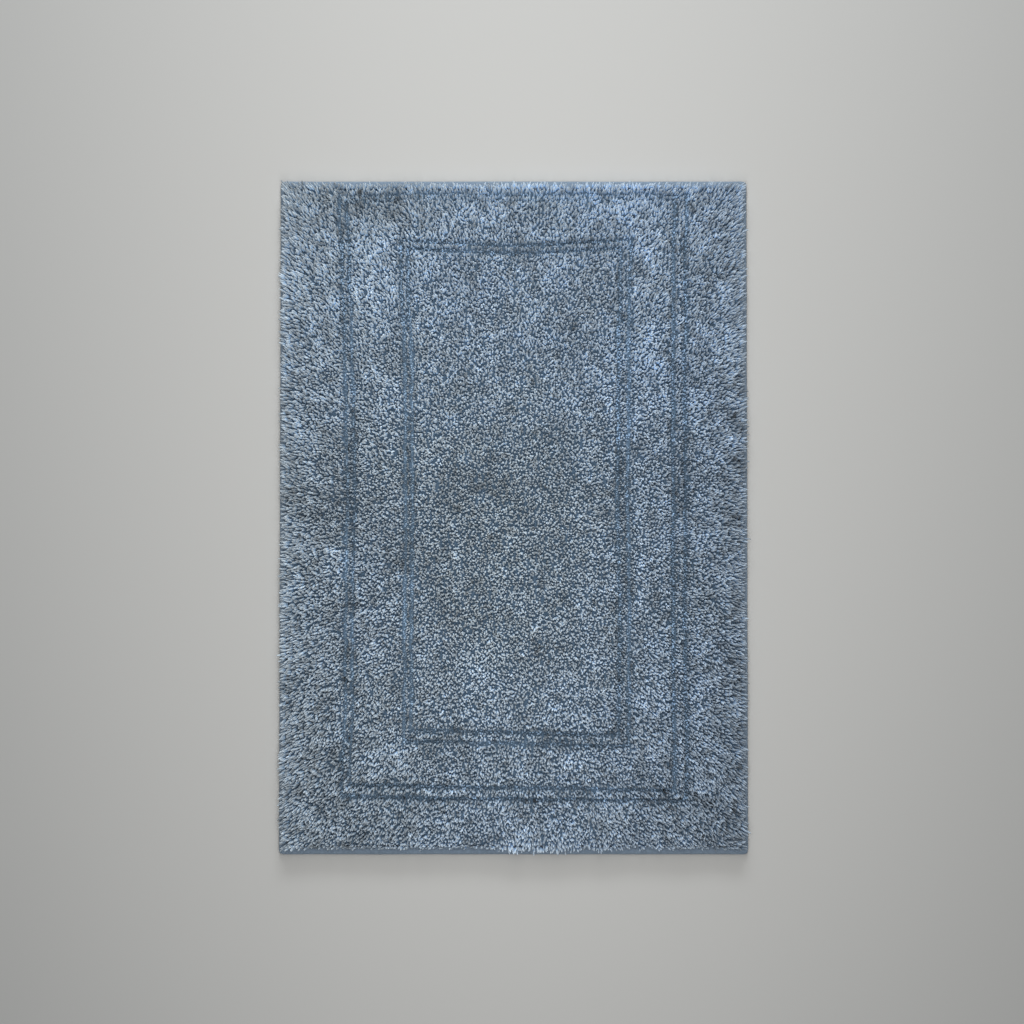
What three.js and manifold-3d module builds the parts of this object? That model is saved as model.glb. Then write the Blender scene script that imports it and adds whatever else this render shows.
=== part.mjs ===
// A tufted bath mat: cut pile in sculpted rings over a backing cloth, a latex coat
// and an anti-slip backing, with a sewn tape hem. Millimetres, +Z up, +Y along the
// mat's length, origin at the middle of the underside.
import * as THREE from "three";
import { mergeVertices } from "three/addons/utils/BufferGeometryUtils.js";
import Module from "manifold-3d";

const wasm = await Module();
wasm.setup();

// Driving dimensions.
const matWidth = 500;
const matLength = 720;
const clearance = 0.3; // between pieces that touch

// The layers, from the floor up.
const antislipThick = 1.5;
const antislipInset = 14; // from the hem's outer edge
const latexThick = 0.7;
const clothThick = 0.8;
const layerInset = 1.2; // the cloth and the latex end just inside the fold of the hem
const latexBottom = antislipThick + clearance;
const clothBottom = latexBottom + latexThick + clearance;
const clothTop = clothBottom + clothThick;

// The hem: a tape folded over the mat's edge.
const tapeThick = 0.8;
const tapeTopLeg = 8;
const tapeBottomLeg = 13.4;
const tapeTop = clothTop + clearance + tapeThick;
const tapeBottom = 0.9;
const threadThick = 0.5;
const topSeamInset = 6; // of the needle thread, from the hem's outer edge
const bottomSeamInset = 10; // of the bobbin thread
const threadClearance = 0.05;

// The pile.
const pileBottom = clothTop + clearance;
const pileTop = 15.5;
const ridgeTop = 14.8;
const lowPileTop = 8.5; // in the sculpted lines
const halfLine = 1.8; // half the width of a sculpted line
const shoulder = 2; // the rounded edge of the full pile
const overhangBottom = 7; // where the border's pile starts to lean out over the hem
const overhangTop = 10;

// How far the border's pile stays in from the hem's outer edge, where it leans out most.
const overhangInset = { left: 2, right: 5, top: 3, bottom: 6.5 };

// The width of each ring on each side, from the middle of one sculpted line to the next.
const borderWidth = { left: 68.6, right: 66.5, top: 13, bottom: 60.7 };
const outerRidgeWidth = { left: 8, right: 12.8, top: 6.4, bottom: 11.8 };
const bandWidth = { left: 55.1, right: 47.1, top: 46, bottom: 47.1 };
const innerRidgeWidth = { left: 7.5, right: 10.7, top: 8.1, bottom: 11.7 };

// The care label, sewn in under the hem near one corner. The soft backing gives way
// under it, so it lies in a shallow recess.
const labelWidth = 34;
const labelLength = 26;
const labelThick = 0.25;
const labelBottom = 0.05;
const labelX = -150;
const labelInset = 3; // of its sewn end, from the hem's outer edge
const recessMargin = 1;
const recessDepth = 0.4;

const sides = ["left", "right", "top", "bottom"];

function material(name, color, roughness) {
  return new THREE.MeshStandardMaterial({ name, color, roughness, metalness: 0 });
}

const materials = {
  pile: () => material("pile", 0x6e7e8d, 0.95),
  ridge: () => material("ridge", 0x64748a, 0.95),
  tape: () => material("tape", 0x697a92, 0.8),
  thread: () => material("thread", 0x5a6a82, 0.7),
  cloth: () => material("cloth", 0x4a5666, 0.9),
  latex: () => material("latex", 0xd8d2c2, 0.75),
  antislip: () => material("antislip", 0xb9bcbd, 0.6),
  label: () => material("label", 0xe8e8e4, 0.7),
};

const mat = new THREE.Group();

function addMesh(name, geometry, meshMaterial) {
  const mesh = new THREE.Mesh(geometry, meshMaterial);
  mesh.name = name;
  mat.add(mesh);
  return mesh;
}

// A rectangle about the origin, given by its four edges.
const matEdge = {
  left: -matWidth / 2,
  right: matWidth / 2,
  top: matLength / 2,
  bottom: -matLength / 2,
};

// The rectangle inside another one, moved in by its own distance on each side.
function insetRect(rect, inset) {
  const by = typeof inset === "number"
    ? { left: inset, right: inset, top: inset, bottom: inset }
    : inset;
  return {
    left: rect.left + by.left,
    right: rect.right - by.right,
    top: rect.top - by.top,
    bottom: rect.bottom + by.bottom,
  };
}

function mixRect(outer, inner, share) {
  const mixed = {};
  for (const side of sides) {
    mixed[side] = THREE.MathUtils.lerp(outer[side], inner[side], share);
  }
  return mixed;
}

// The two ends of one side of a rectangle, in the order that goes round it
// anticlockwise, seen from above.
function sideEnds(rect, side) {
  const corners = {
    bottomRight: new THREE.Vector2(rect.right, rect.bottom),
    topRight: new THREE.Vector2(rect.right, rect.top),
    topLeft: new THREE.Vector2(rect.left, rect.top),
    bottomLeft: new THREE.Vector2(rect.left, rect.bottom),
  };
  const ends = {
    right: [corners.bottomRight, corners.topRight],
    top: [corners.topRight, corners.topLeft],
    left: [corners.topLeft, corners.bottomLeft],
    bottom: [corners.bottomLeft, corners.bottomRight],
  };
  return ends[side];
}

// One side of a ring, mitred at both ends. Each point of the section is [distance in
// from the ring's outer edge, height], and rectAt gives the rectangle that the ring
// follows at that distance in.
function ringSide(rectAt, side, section) {
  const outline = new THREE.Shape(section.map(([inward, z]) => new THREE.Vector2(inward, z)));
  const geometry = new THREE.ExtrudeGeometry(outline, { depth: 1, bevelEnabled: false });
  const position = geometry.getAttribute("position");
  for (let i = 0; i < position.count; i++) {
    const [start, end] = sideEnds(rectAt(position.getX(i)), side);
    const along = end.clone().sub(start).normalize();
    start.addScaledVector(along, clearance);
    end.addScaledVector(along, -clearance);
    const place = start.lerp(end, position.getZ(i));
    position.setXYZ(i, place.x, place.y, position.getY(i));
  }
  geometry.computeVertexNormals();
  return geometry;
}

// The rectangles between an outer and an inner one, for one side of the ring.
function between(outer, inner, side) {
  const width = Math.abs(outer[side] - inner[side]);
  return (inward) => mixRect(outer, inner, inward / width);
}

// The rectangles a fixed distance in from the mat's edge.
function inFromEdge(inward) {
  return insetRect(matEdge, inward);
}

// A box between two corners.
function boxBetween(low, high) {
  const size = new THREE.Vector3().subVectors(high, low);
  const middle = new THREE.Vector3().addVectors(low, high).multiplyScalar(0.5);
  const geometry = new THREE.BoxGeometry(size.x, size.y, size.z);
  geometry.translate(middle.x, middle.y, middle.z);
  return geometry;
}

// A flat layer of even thickness, inside the mat's edge.
function layer(inset, bottom, thick) {
  const rect = insetRect(matEdge, inset);
  const low = new THREE.Vector3(rect.left, rect.bottom, bottom);
  const high = new THREE.Vector3(rect.right, rect.top, bottom + thick);
  return boxBetween(low, high);
}

function solidOf(geometry) {
  const bare = geometry.clone();
  bare.deleteAttribute("normal");
  bare.deleteAttribute("uv");
  const merged = mergeVertices(bare);
  const mesh = new wasm.Mesh({
    numProp: 3,
    vertProperties: merged.getAttribute("position").array,
    triVerts: new Uint32Array(merged.index.array),
  });
  return new wasm.Manifold(mesh);
}

function geometryOf(solid) {
  const { vertProperties, triVerts } = solid.getMesh();
  const geometry = new THREE.BufferGeometry();
  geometry.setAttribute("position", new THREE.BufferAttribute(vertProperties, 3));
  geometry.setIndex(new THREE.BufferAttribute(triVerts, 1));
  geometry.computeVertexNormals();
  return geometry;
}

// The care label's box, and the recess for it in the backing.
const labelLow = new THREE.Vector3(
  labelX - labelWidth / 2,
  matEdge.bottom + labelInset,
  labelBottom,
);
const labelHigh = labelLow.clone().add(new THREE.Vector3(labelWidth, labelLength, labelThick));
const recess = boxBetween(
  new THREE.Vector3(labelLow.x - recessMargin, labelLow.y, -1),
  new THREE.Vector3(labelHigh.x + recessMargin, labelHigh.y + recessMargin, recessDepth),
);
const antislip = solidOf(layer(antislipInset, 0, antislipThick)).subtract(solidOf(recess));

// The label and the three layers under the pile.
addMesh("care_label", boxBetween(labelLow, labelHigh), materials.label());
addMesh("antislip_backing", geometryOf(antislip), materials.antislip());
addMesh("latex_coat", layer(layerInset, latexBottom, latexThick), materials.latex());
addMesh("backing_cloth", layer(layerInset, clothBottom, clothThick), materials.cloth());

// The hem tape's section: a top leg, the fold at the edge and a bottom leg.
const tapeSection = [
  [0, tapeBottom],
  [tapeBottomLeg, tapeBottom],
  [tapeBottomLeg, tapeBottom + tapeThick],
  [tapeThick, tapeBottom + tapeThick],
  [tapeThick, tapeTop - tapeThick],
  [tapeTopLeg, tapeTop - tapeThick],
  [tapeTopLeg, tapeTop],
  [0, tapeTop],
];

// A thread's section: a regular octagon.
function threadSection(inward, z) {
  const points = [];
  for (let i = 0; i < 8; i++) {
    const angle = ((i + 0.5) * Math.PI) / 4;
    const radius = threadThick / 2 / Math.cos(Math.PI / 8);
    points.push([inward + radius * Math.cos(angle), z + radius * Math.sin(angle)]);
  }
  return points;
}

const needleThreadZ = tapeTop + threadClearance + threadThick / 2;
const bobbinThreadZ = tapeBottom - threadClearance - threadThick / 2;
for (const side of sides) {
  addMesh(`hem_tape_${side}`, ringSide(inFromEdge, side, tapeSection), materials.tape());
  addMesh(
    `needle_thread_${side}`,
    ringSide(inFromEdge, side, threadSection(topSeamInset, needleThreadZ)),
    materials.thread(),
  );
  addMesh(
    `bobbin_thread_${side}`,
    ringSide(inFromEdge, side, threadSection(bottomSeamInset, bobbinThreadZ)),
    materials.thread(),
  );
}

const pileInset = tapeTopLeg + clearance; // of the border's roots, beside the tape
const seamOverlap = 0.1; // of the overhang into the pile over the roots, to join them

// The border's pile over its roots, down to the low pile of the first sculpted line.
function borderSection(width) {
  return [
    [0, pileBottom],
    [width - clearance / 2, pileBottom],
    [width - clearance / 2, lowPileTop],
    [width - halfLine, lowPileTop],
    [width - halfLine - shoulder / 2, pileTop],
    [0, pileTop],
  ];
}

// The border's pile where it leans out over the hem.
function overhangSection(inset) {
  const root = pileInset + seamOverlap;
  const slope = Math.min(shoulder, (root - inset) / 2);
  return [
    [root, overhangBottom],
    [root, pileTop - seamOverlap],
    [inset + slope, pileTop - seamOverlap],
    [inset, pileTop - shoulder],
    [inset, overhangTop],
  ];
}

// A ring inside the border has a low step on both of its edges.
function innerSection(width, top) {
  const outerEdge = clearance / 2;
  const innerEdge = width - clearance / 2;
  const slope = Math.min(shoulder / 2, width / 8);
  return [
    [outerEdge, pileBottom],
    [innerEdge, pileBottom],
    [innerEdge, lowPileTop],
    [width - halfLine, lowPileTop],
    [width - halfLine - slope, top],
    [halfLine + slope, top],
    [halfLine, lowPileTop],
    [outerEdge, lowPileTop],
  ];
}

const outerRidgeEdge = insetRect(matEdge, borderWidth);
const bandEdge = insetRect(outerRidgeEdge, outerRidgeWidth);
const innerRidgeEdge = insetRect(bandEdge, bandWidth);
const centreEdge = insetRect(innerRidgeEdge, innerRidgeWidth);

const pileEdge = inFromEdge(pileInset);

for (const side of sides) {
  const width = borderWidth[side] - pileInset;
  const overRoots = ringSide(between(pileEdge, outerRidgeEdge, side), side, borderSection(width));
  const overHem = ringSide(inFromEdge, side, overhangSection(overhangInset[side]));
  const border = solidOf(overRoots).add(solidOf(overHem));
  addMesh(`border_pile_${side}`, geometryOf(border), materials.pile());
}

// The rings inside the border: name, outer edge, inner edge, widths, height, material.
const rings = [
  ["outer_ridge_pile", outerRidgeEdge, bandEdge, outerRidgeWidth, ridgeTop, materials.ridge],
  ["band_pile", bandEdge, innerRidgeEdge, bandWidth, pileTop, materials.pile],
  ["inner_ridge_pile", innerRidgeEdge, centreEdge, innerRidgeWidth, ridgeTop, materials.ridge],
];
for (const [name, outer, inner, width, top, ringMaterial] of rings) {
  for (const side of sides) {
    const section = innerSection(width[side], top);
    addMesh(`${name}_${side}`, ringSide(between(outer, inner, side), side, section), ringMaterial());
  }
}

// The centre field: a low foot under the sculpted line, and the full pile inside it.
function centreField() {
  const foot = insetRect(centreEdge, clearance / 2);
  const body = insetRect(centreEdge, halfLine);
  const crown = insetRect(body, shoulder / 2);
  const levels = [
    [foot, pileBottom],
    [foot, lowPileTop],
    [body, lowPileTop],
    [crown, pileTop],
  ];
  const points = [];
  for (const [rect, z] of levels) {
    points.push(rect.left, rect.bottom, z, rect.right, rect.bottom, z);
    points.push(rect.right, rect.top, z, rect.left, rect.top, z);
  }
  const faces = [0, 2, 1, 0, 3, 2];
  for (let level = 0; level < levels.length - 1; level++) {
    for (let corner = 0; corner < 4; corner++) {
      const next = (corner + 1) % 4;
      const low = level * 4;
      const high = low + 4;
      faces.push(low + corner, low + next, high + next);
      faces.push(low + corner, high + next, high + corner);
    }
  }
  const top = (levels.length - 1) * 4;
  faces.push(top, top + 1, top + 2, top, top + 2, top + 3);
  const geometry = new THREE.BufferGeometry();
  geometry.setAttribute("position", new THREE.Float32BufferAttribute(points, 3));
  geometry.setIndex(faces);
  geometry.computeVertexNormals();
  return geometry;
}

addMesh("centre_pile", centreField(), materials.pile());

export default mat;
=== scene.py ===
import math

import bmesh
import bpy
import numpy as np
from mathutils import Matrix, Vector


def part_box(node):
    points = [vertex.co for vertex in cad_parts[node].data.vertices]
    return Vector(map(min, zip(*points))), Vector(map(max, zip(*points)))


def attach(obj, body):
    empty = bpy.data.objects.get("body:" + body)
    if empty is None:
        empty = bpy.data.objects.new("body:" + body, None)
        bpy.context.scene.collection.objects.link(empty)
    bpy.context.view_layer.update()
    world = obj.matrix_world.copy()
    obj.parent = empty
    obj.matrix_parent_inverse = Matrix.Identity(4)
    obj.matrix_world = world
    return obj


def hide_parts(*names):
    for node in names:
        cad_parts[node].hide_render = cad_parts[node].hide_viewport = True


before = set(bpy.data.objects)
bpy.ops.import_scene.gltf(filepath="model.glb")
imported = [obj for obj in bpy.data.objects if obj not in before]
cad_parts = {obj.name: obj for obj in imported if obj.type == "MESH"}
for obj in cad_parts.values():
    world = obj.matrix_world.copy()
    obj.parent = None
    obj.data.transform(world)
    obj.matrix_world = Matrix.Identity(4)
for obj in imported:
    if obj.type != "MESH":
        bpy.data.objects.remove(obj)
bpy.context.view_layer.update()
mm = 0.001
sideNames = ("left", "right", "top", "bottom")
print("frame loaded")


# places that everything below is worked out from

def rectOf(leftNode, rightNode, topNode, bottomNode):
    return {
        "left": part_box(leftNode)[0].x,
        "right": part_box(rightNode)[1].x,
        "top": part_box(topNode)[1].y,
        "bottom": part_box(bottomNode)[0].y,
    }


def ringRect(stem):
    return rectOf(*[stem + "_" + side for side in sideNames])


def insetRect(rect, inset):
    return {
        "left": rect["left"] + inset,
        "right": rect["right"] - inset,
        "top": rect["top"] - inset,
        "bottom": rect["bottom"] + inset,
    }


hemRect = ringRect("hem_tape")
matHalfX = (hemRect["right"] - hemRect["left"]) / 2
matHalfY = (hemRect["top"] - hemRect["bottom"]) / 2
centreRect = rectOf("centre_pile", "centre_pile", "centre_pile", "centre_pile")
lineRects = [ringRect(ring) for ring in ("outer_ridge_pile", "band_pile", "inner_ridge_pile")]
lineRects.append(centreRect)
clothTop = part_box("backing_cloth")[1].z
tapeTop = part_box("hem_tape_left")[1].z
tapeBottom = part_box("hem_tape_left")[0].z
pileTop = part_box("centre_pile")[1].z
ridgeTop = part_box("inner_ridge_pile_left")[1].z

# what each random patch field is for, and its seed: the fields of a list count on from it
seeds = {
    "wobbleX": 3, "height": 5, "wobbleY": 6, "overhang": 8, "groove": 9,
    "clumpX": 10, "clumpY": 20, "tone": 30, "cast": 36, "roots": 50,
    "wave": 60, "lift": 70, "latex": 80, "sway": 90, "label": 95,
}


# camera, floor and light

view = {
    "height": 1.6,
    "tilt": math.radians(1.0),
    "seenWidth": 1.087,  # of what lies at the top of the pile
    "target": (-0.0017, 0.0047),
    "sensor": 36.0,
}
studio = {
    "floorSize": 6.0,
    "floorColour": (0.60, 0.592, 0.57, 1),
    "floorRoughness": 0.75,
    "worldColour": (0.88, 0.94, 1.0, 1),
    "worldStrength": 0.13,
    "lights": (
        # name, place, width, length, power, colour, aim
        ("strip", (0.0, 0.15, 0.95), 0.3, 2.0, 8.6, (1.0, 0.995, 0.985), (0.0, 0.15, 0.0)),
        ("window", (0.0, 2.6, 1.25), 1.6, 0.6, 41.0, (0.93, 0.97, 1.0), (0.0, 0.0, 0.0)),
    ),
}


def makeCamera():
    data = bpy.data.cameras.new("camera")
    camera = bpy.data.objects.new("camera", data)
    bpy.context.scene.collection.objects.link(camera)
    distance = view["height"] - pileTop
    x, y = view["target"]
    camera.location = (
        x,
        y - distance * math.tan(view["tilt"]),
        pileTop + distance,
    )
    camera.rotation_euler = (view["tilt"], 0, 0)
    data.sensor_width = view["sensor"]
    data.lens = view["sensor"] * distance / math.cos(view["tilt"]) / view["seenWidth"]
    data.clip_start = 0.01
    bpy.context.scene.camera = camera


def addAreaLight(name, place, width, length, power, colour, aim):
    data = bpy.data.lights.new(name, "AREA")
    data.shape = "RECTANGLE"
    data.size = width
    data.size_y = length
    data.energy = power
    data.color = colour
    light = bpy.data.objects.new(name, data)
    bpy.context.scene.collection.objects.link(light)
    light.location = place
    way = Vector(aim) - Vector(place)
    light.rotation_euler = way.to_track_quat("-Z", "Y").to_euler()
    light.visible_camera = False


def makeStudio():
    scene = bpy.context.scene
    scene.view_settings.view_transform = "Standard"
    world = bpy.data.worlds.new("studio")
    world.use_nodes = True
    background = world.node_tree.nodes["Background"]
    background.inputs["Color"].default_value = studio["worldColour"]
    background.inputs["Strength"].default_value = studio["worldStrength"]
    scene.world = world
    for light in studio["lights"]:
        addAreaLight(*light)
    bpy.ops.mesh.primitive_plane_add(size=studio["floorSize"])
    floor = bpy.context.object
    floor.name = "floor"
    material = bpy.data.materials.new("floor")
    material.use_nodes = True
    shader = material.node_tree.nodes["Principled BSDF"]
    shader.inputs["Base Color"].default_value = studio["floorColour"]
    shader.inputs["Roughness"].default_value = studio["floorRoughness"]
    floor.data.materials.append(material)


makeCamera()
makeStudio()
print("camera, light and floor made")


# helpers for modelling

def deselectAll():
    if bpy.context.object and bpy.context.object.mode != "OBJECT":
        bpy.ops.object.mode_set(mode="OBJECT")
    bpy.ops.object.select_all(action="DESELECT")


def makeActive(piece):
    deselectAll()
    piece.select_set(True)
    bpy.context.view_layer.objects.active = piece


def applyModifier(piece, kind, **values):
    makeActive(piece)
    modifier = piece.modifiers.new(kind.title(), kind)
    for key, value in values.items():
        setattr(modifier, key, value)
    bpy.ops.object.modifier_apply(modifier=modifier.name)


def selectVertices(test):
    # in edit mode: the vertices whose place passes the test, and no others
    mesh = bpy.context.object.data
    bm = bmesh.from_edit_mesh(mesh)
    for v in bm.verts:
        v.select = bool(test(v.co))
    bm.select_flush_mode()
    bmesh.update_edit_mesh(mesh)


def faceOutwards():
    # in edit mode: every face of the piece points out
    bpy.ops.mesh.select_all(action="SELECT")
    bpy.ops.mesh.normals_make_consistent(inside=False)
    bpy.ops.object.mode_set(mode="OBJECT")


def pointsOf(mesh):
    points = np.zeros(len(mesh.vertices) * 3)
    mesh.vertices.foreach_get("co", points)
    return points.reshape(-1, 3)


def setPoints(mesh, points):
    mesh.vertices.foreach_set("co", np.ascontiguousarray(points, np.float32).ravel())
    mesh.update()


def takeApart(master):
    # the points and triangles of a modelled master, which itself goes
    points = pointsOf(master.data)
    faces = [tuple(p.vertices) for p in master.data.polygons]
    triangles = np.array([(f[0], f[k], f[k + 1]) for f in faces for k in range(1, len(f) - 1)])
    bpy.data.objects.remove(master)
    return points, triangles


def repeated(triangles, times, size):
    # a master's triangles for each of its copies, where size is its number of points
    return (triangles[None] + np.arange(times)[:, None, None] * size).reshape(-1, 3)


patches = {"cells": 256, "middle": (128.37, 128.71)}  # of the grid that a field is drawn on


def patchField(x, y, size, seed):
    # smooth random patches between -1 and 1, about size across
    rng = np.random.default_rng(seed)
    cells = patches["cells"]
    grid = rng.uniform(-1, 1, (cells, cells))
    u = np.asarray(x) / size + patches["middle"][0]
    v = np.asarray(y) / size + patches["middle"][1]
    i = np.floor(u).astype(int)
    j = np.floor(v).astype(int)
    fu = u - i
    fv = v - j
    fu = fu * fu * (3 - 2 * fu)
    fv = fv * fv * (3 - 2 * fv)
    i = i % (cells - 1)
    j = j % (cells - 1)
    near = grid[i, j] * (1 - fu) + grid[i + 1, j] * fu
    far = grid[i, j + 1] * (1 - fu) + grid[i + 1, j + 1] * fu
    return near * (1 - fv) + far * fv


# shared shader groups

fibreLook = {
    "detail": (2.0, 3.0),  # of the coarse and the fine noise
    "noiseRoughness": 0.6,
    "fineness": 3.1,  # of the fine noise against the coarse
    "coarseShare": 0.6,
    "maskEdges": (0.36, 0.64),
}
weaveLook = {
    "flat": 0.6,
    "crown": 0.4,  # how much higher the upper thread lies at a crossing
    "maskEdges": (0.15, 0.8),
}
sheenRoughness = 0.45


def newGroup(name, amountName):
    # takes a place and an amount in metres, and gives a mask and a height
    group = bpy.data.node_groups.new(name, "ShaderNodeTree")
    group.interface.new_socket("Vector", in_out="INPUT", socket_type="NodeSocketVector")
    group.interface.new_socket(amountName, in_out="INPUT", socket_type="NodeSocketFloat")
    for label in ("Mask", "Height"):
        group.interface.new_socket(label, in_out="OUTPUT", socket_type="NodeSocketFloat")
    return group, group.nodes.new("NodeGroupInput"), group.nodes.new("NodeGroupOutput")


def mathNode(tree, operation, first, second=None):
    node = tree.nodes.new("ShaderNodeMath")
    node.operation = operation
    for socket, value in zip(node.inputs, (first, second)):
        if value is None:
            continue
        if isinstance(value, (int, float)):
            socket.default_value = value
        else:
            tree.links.new(value, socket)
    return node.outputs[0]


def mixColour(tree, factor, first, second, blend="MIX"):
    node = tree.nodes.new("ShaderNodeMix")
    node.data_type = "RGBA"
    node.blend_type = blend
    sockets = (node.inputs[0], node.inputs[6], node.inputs[7])  # its factor and its two colours
    for socket, value in zip(sockets, (factor, first, second)):
        if isinstance(value, (int, float, tuple)):
            socket.default_value = value
        else:
            tree.links.new(value, socket)
    return node.outputs[2]


def noiseNode(tree, vector, scale, detail):
    node = tree.nodes.new("ShaderNodeTexNoise")
    node.inputs["Detail"].default_value = detail
    node.inputs["Roughness"].default_value = fibreLook["noiseRoughness"]
    tree.links.new(vector, node.inputs["Vector"])
    tree.links.new(scale, node.inputs["Scale"])
    return node.outputs[0]


def rampNode(tree, value, low, high):
    node = tree.nodes.new("ShaderNodeMapRange")
    node.interpolation_type = "SMOOTHSTEP"
    node.inputs["From Min"].default_value = low
    node.inputs["From Max"].default_value = high
    tree.links.new(value, node.inputs["Value"])
    return node.outputs[0]


def makeFibreGroup():
    # fine fibres of one size
    group, taken, given = newGroup("fibres", "Size")
    scale = mathNode(group, "DIVIDE", 1.0, taken.outputs["Size"])
    coarseDetail, fineDetail = fibreLook["detail"]
    coarse = noiseNode(group, taken.outputs["Vector"], scale, coarseDetail)
    fineScale = mathNode(group, "MULTIPLY", scale, fibreLook["fineness"])
    fine = noiseNode(group, taken.outputs["Vector"], fineScale, fineDetail)
    both = mathNode(group, "ADD", mathNode(group, "MULTIPLY", coarse, fibreLook["coarseShare"]),
                    mathNode(group, "MULTIPLY", fine, 1 - fibreLook["coarseShare"]))
    group.links.new(rampNode(group, both, *fibreLook["maskEdges"]), given.inputs["Mask"])
    group.links.new(both, given.inputs["Height"])
    return group


def makeWeaveGroup():
    # a plain weave on a map in metres: over and under threads at one pitch
    group, taken, given = newGroup("weave", "Pitch")
    parts = group.nodes.new("ShaderNodeSeparateXYZ")
    group.links.new(taken.outputs["Vector"], parts.inputs[0])
    turns = []
    for axis in (0, 1):
        share = mathNode(group, "DIVIDE", parts.outputs[axis], taken.outputs["Pitch"])
        turns.append(mathNode(group, "MULTIPLY", share, math.pi))
    across = mathNode(group, "SINE", turns[0])
    along = mathNode(group, "SINE", turns[1])
    product = mathNode(group, "MULTIPLY", across, along)
    crown = mathNode(group, "MULTIPLY", product, weaveLook["crown"])
    warp = mathNode(group, "MULTIPLY", mathNode(group, "ABSOLUTE", across),
                    mathNode(group, "ADD", weaveLook["flat"], crown))
    weft = mathNode(group, "MULTIPLY", mathNode(group, "ABSOLUTE", along),
                    mathNode(group, "SUBTRACT", weaveLook["flat"], crown))
    height = mathNode(group, "MAXIMUM", warp, weft)
    group.links.new(rampNode(group, height, *weaveLook["maskEdges"]), given.inputs["Mask"])
    group.links.new(height, given.inputs["Height"])
    return group


fibreGroup = makeFibreGroup()
weaveGroup = makeWeaveGroup()


def useGroup(tree, group, vector, amountName, amount):
    node = tree.nodes.new("ShaderNodeGroup")
    node.node_tree = group
    tree.links.new(vector, node.inputs["Vector"])
    node.inputs[amountName].default_value = amount
    return node


def newMaterial(name, roughness, sheen=0.0, sheenTint=(1, 1, 1, 1)):
    material = bpy.data.materials.new(name)
    material.use_nodes = True
    tree = material.node_tree
    shader = tree.nodes["Principled BSDF"]
    shader.inputs["Roughness"].default_value = roughness
    shader.inputs["Sheen Weight"].default_value = sheen
    shader.inputs["Sheen Roughness"].default_value = sheenRoughness
    shader.inputs["Sheen Tint"].default_value = sheenTint
    return material, tree, shader


def objectVector(tree):
    return tree.nodes.new("ShaderNodeTexCoord").outputs["Object"]


def mapVector(tree, name):
    node = tree.nodes.new("ShaderNodeUVMap")
    node.uv_map = name
    return node.outputs[0]


def shadeBy(tree, colour, amount):
    # the colour, made darker or lighter by a grey amount
    grey = tree.nodes.new("ShaderNodeCombineColor")
    for socket in grey.inputs[:3]:
        tree.links.new(amount, socket)
    return mixColour(tree, 1.0, colour, grey.outputs[0], "MULTIPLY")


def amountOf(tree, mask, low, rise):
    # the mask as an amount from low to low + rise
    return mathNode(tree, "ADD", low, mathNode(tree, "MULTIPLY", mask, rise))


def darker(colour, share):
    return tuple(c * share for c in colour[:3]) + (1,)


def addBump(tree, shader, height, strength, distance):
    node = tree.nodes.new("ShaderNodeBump")
    node.inputs["Strength"].default_value = strength
    node.inputs["Distance"].default_value = distance
    tree.links.new(height, node.inputs["Height"])
    tree.links.new(node.outputs[0], shader.inputs["Normal"])


def addRoughness(tree, shader, mask, low, high):
    node = tree.nodes.new("ShaderNodeMapRange")
    node.inputs["To Min"].default_value = low
    node.inputs["To Max"].default_value = high
    tree.links.new(mask, node.inputs["Value"])
    tree.links.new(node.outputs[0], shader.inputs["Roughness"])


# pile

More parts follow.
